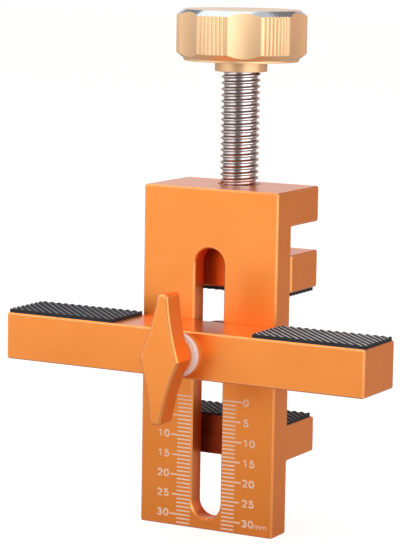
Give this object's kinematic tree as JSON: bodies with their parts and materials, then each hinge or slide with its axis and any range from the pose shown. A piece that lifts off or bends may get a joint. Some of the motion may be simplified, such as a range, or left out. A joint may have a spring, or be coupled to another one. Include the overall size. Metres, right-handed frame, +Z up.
{
  "type": "cabinet door mounting jig",
  "caption": "Screw clamp for a cabinet face frame with a height-adjustable cross bar in front that carries the door while its hinges are fitted.",
  "frame": {"origin": "middle of the plate's foot face", "axes": "+Z up along the plate and the clamping screw, +X along the cross bar to its right end, +Y from the cross bar to the jaws"},
  "size_m": [0.0972, 0.057, 0.1273],
  "materials": {
    "orange_aluminium": "bead-blasted and anodised orange, satin",
    "champagne_aluminium": "anodised champagne gold, fine-turned, bright cut bevel",
    "steel": "bright rolled thread",
    "rubber": "black, ribbed, matt",
    "nylon": "natural white nylon"
  },
  "bodies": {
    "plate": {"body": "orange_aluminium", "lower_jaw_pad": "rubber"},
    "jaw": {"moving_jaw": "orange_aluminium", "moving_jaw_pad": "rubber"},
    "screw": {"clamp_screw": "steel", "retaining_ring": "steel", "clamp_knob": "champagne_aluminium"},
    "bolt": {"locking_bolt": "steel"},
    "bar": {"support_bar": "orange_aluminium", "bar_pad_left": "rubber", "bar_pad_right": "rubber"},
    "washer": {"nylon_washer": "nylon"},
    "wing": {"wing_knob": "orange_aluminium"}
  },
  "joints": [
    {"name": "jaw_travel", "type": "slide", "parent": "plate", "child": "jaw", "axis": [0, 0, 1], "range_m": [-0.02755, 0.00705]},
    {"name": "screw_turn", "type": "hinge", "parent": "jaw", "child": "screw", "pos_m": [0, 0.011, 0.0687], "axis": [0, 0, 1], "range_deg": [-6600, 1680]},
    {"name": "bar_travel", "type": "slide", "parent": "plate", "child": "bolt", "axis": [0, 0, 1], "range_m": [-0.0396, 0.0194]},
    {"name": "bar_swivel", "type": "hinge", "parent": "bolt", "child": "bar", "pos_m": [0.001, -0.01195, 0.04635], "axis": [0, -1, 0], "range_deg": [-60, 60]},
    {"name": "washer_travel", "type": "slide", "parent": "bolt", "child": "washer", "axis": [0, -1, 0], "range_m": [0, 0.00305]},
    {"name": "wing_turn", "type": "hinge", "parent": "washer", "child": "wing", "pos_m": [0.001, -0.0237, 0.04635], "axis": [0, -1, 0], "range_deg": [0, 1080]}
  ],
  "couplings": [
    {"joint": "jaw_travel", "follows": "screw_turn", "m_per_rad": 0.00023873},
    {"joint": "washer_travel", "follows": "wing_turn", "m_per_rad": 0.00015915}
  ]
}
